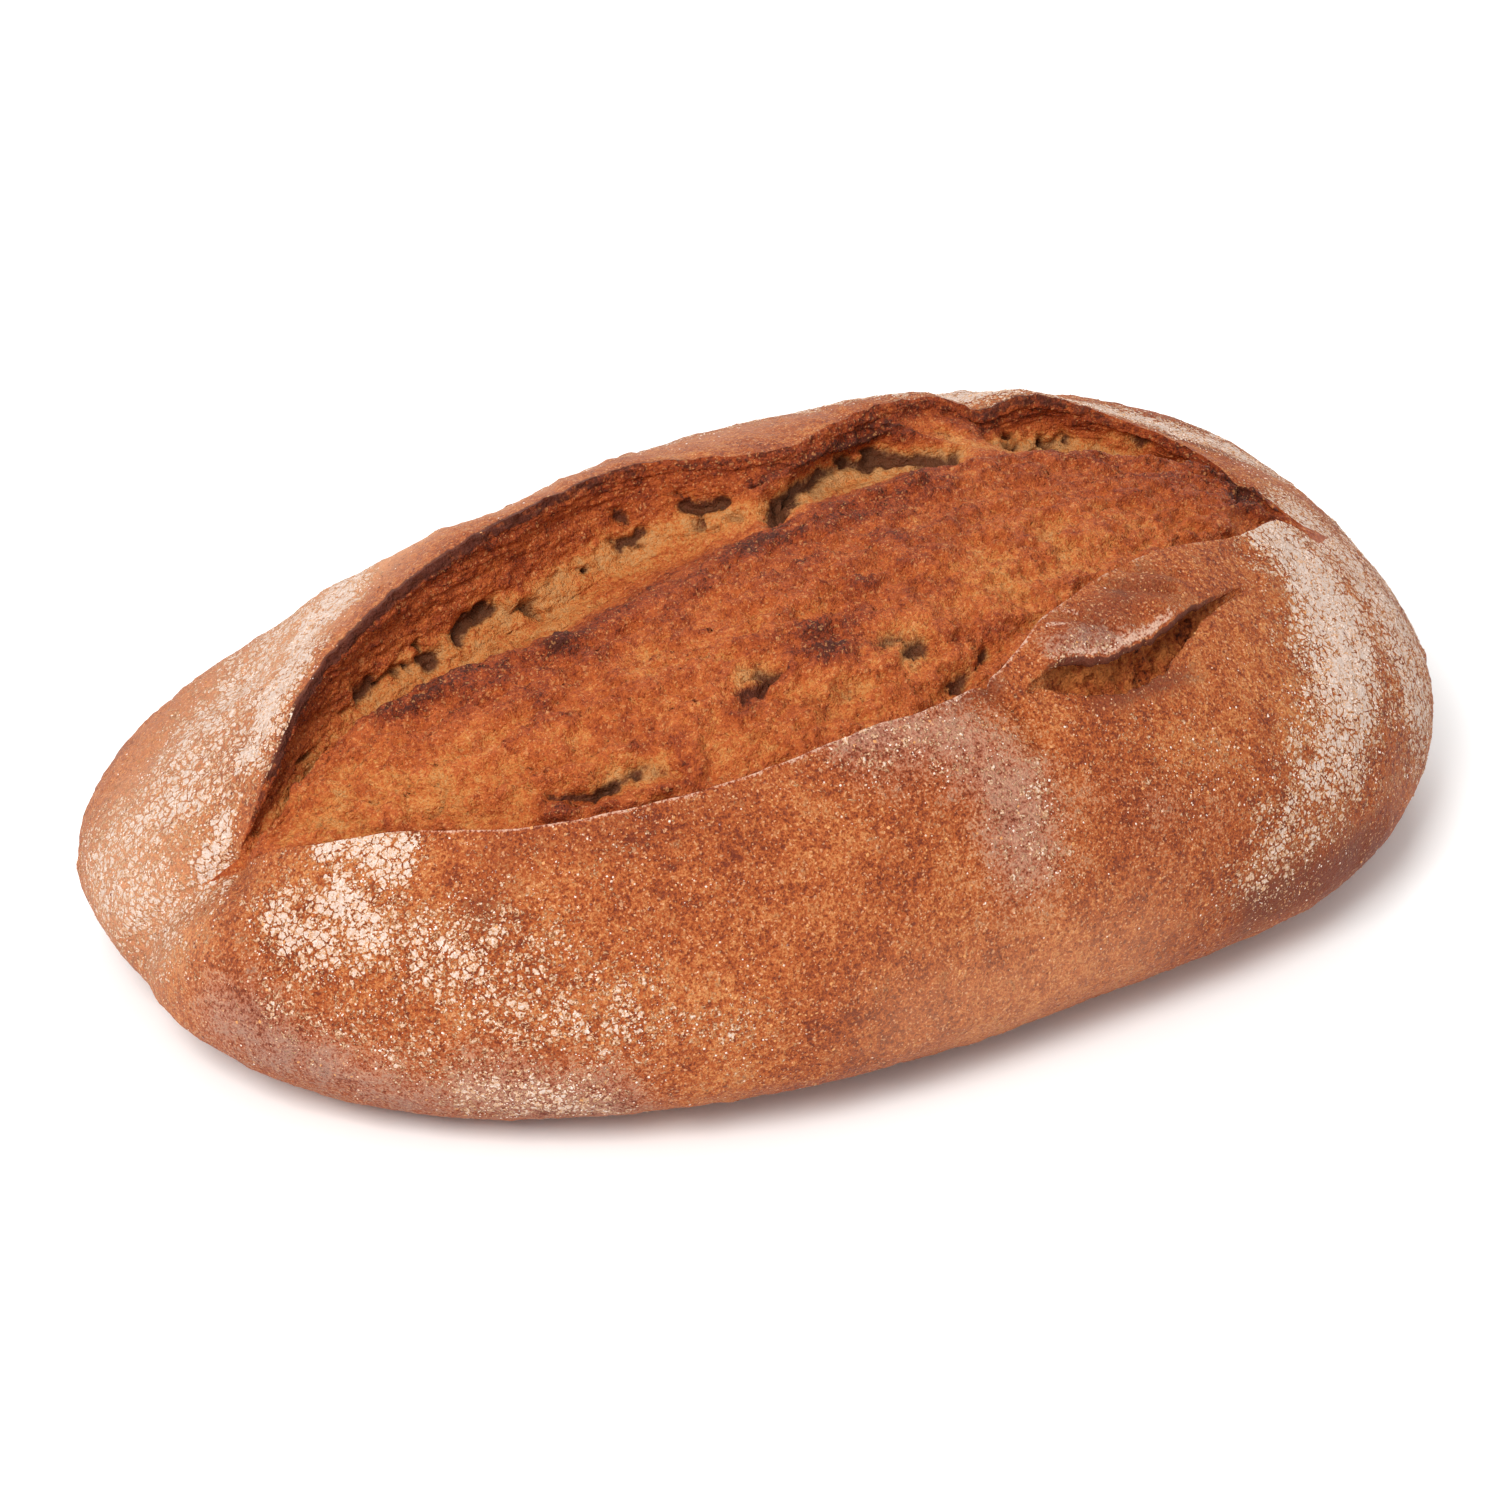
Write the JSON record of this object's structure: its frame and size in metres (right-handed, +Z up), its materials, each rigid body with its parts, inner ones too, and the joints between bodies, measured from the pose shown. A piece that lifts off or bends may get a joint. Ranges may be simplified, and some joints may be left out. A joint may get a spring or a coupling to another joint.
{
  "type": "bread loaf",
  "caption": "Long oval wholemeal hearth loaf with a wide open slash and raised ear along its top, a short slash on its front shoulder and flour on the crust.",
  "frame": {"origin": "on the flat base, under the middle of the loaf's box", "axes": "+X along the loaf towards its right end as seen from the front, +Y to the back, behind the raised ear, +Z up"},
  "size_m": [0.3, 0.1803, 0.0909],
  "materials": {
    "crust": "matt baked wholemeal crust, dusted with flour, torn crumb in the slashes"
  },
  "bodies": {
    "root": {"loaf": "crust"}
  },
  "joints": []
}
